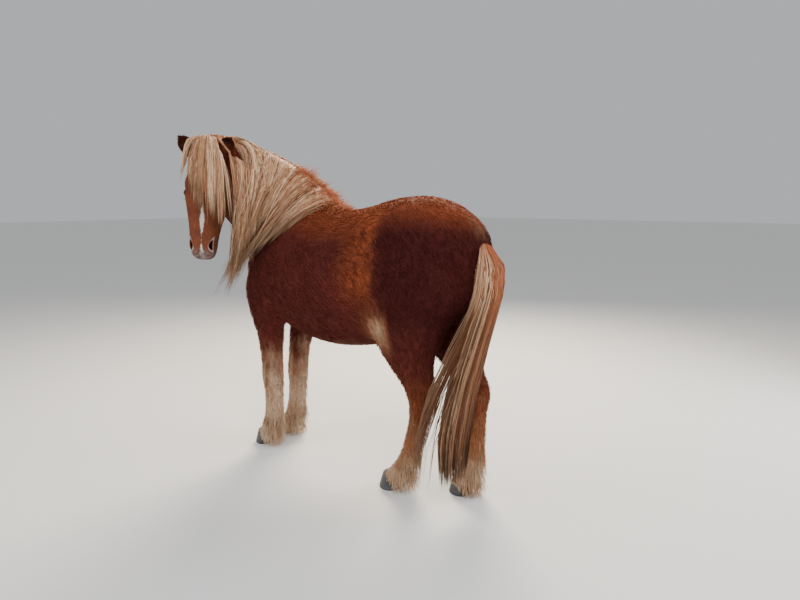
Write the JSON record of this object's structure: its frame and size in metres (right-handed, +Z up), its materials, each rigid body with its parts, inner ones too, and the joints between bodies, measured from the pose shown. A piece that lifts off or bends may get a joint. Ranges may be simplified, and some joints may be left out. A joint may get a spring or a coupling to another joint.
{
  "type": "icelandic horse",
  "caption": "Life-size standing Icelandic horse in winter coat with long mane, forelock, tail and feathered feet, its head turned back to its left. A still model.",
  "frame": {"origin": "the middle of the bottom of the model's box, on the floor under the hooves", "axes": "+Z up from the floor, the horse's body faces -Y, and its left side is at +X"},
  "size_m": [0.8108, 1.671, 1.7133],
  "materials": {
    "coat": "dense winter hair over flesh, dark liver chestnut",
    "long_hair": "long flaxen hair with auburn streaks",
    "horn": "dark slate hoof horn",
    "eye": "wet dark brown eye"
  },
  "bodies": {
    "root": {"torso": "coat", "neck": "coat", "head": "coat", "ear_left": "coat", "ear_right": "coat", "eye_left": "eye", "eye_right": "eye", "tail": "long_hair", "leg_front_left_upper": "coat", "leg_front_left_lower": "coat", "hoof_front_left": "horn", "leg_front_right_upper": "coat", "leg_front_right_lower": "coat", "hoof_front_right": "horn", "leg_hind_left_upper": "coat", "leg_hind_left_lower": "coat", "hoof_hind_left": "horn", "leg_hind_right_upper": "coat", "leg_hind_right_lower": "coat", "hoof_hind_right": "horn"}
  },
  "joints": []
}
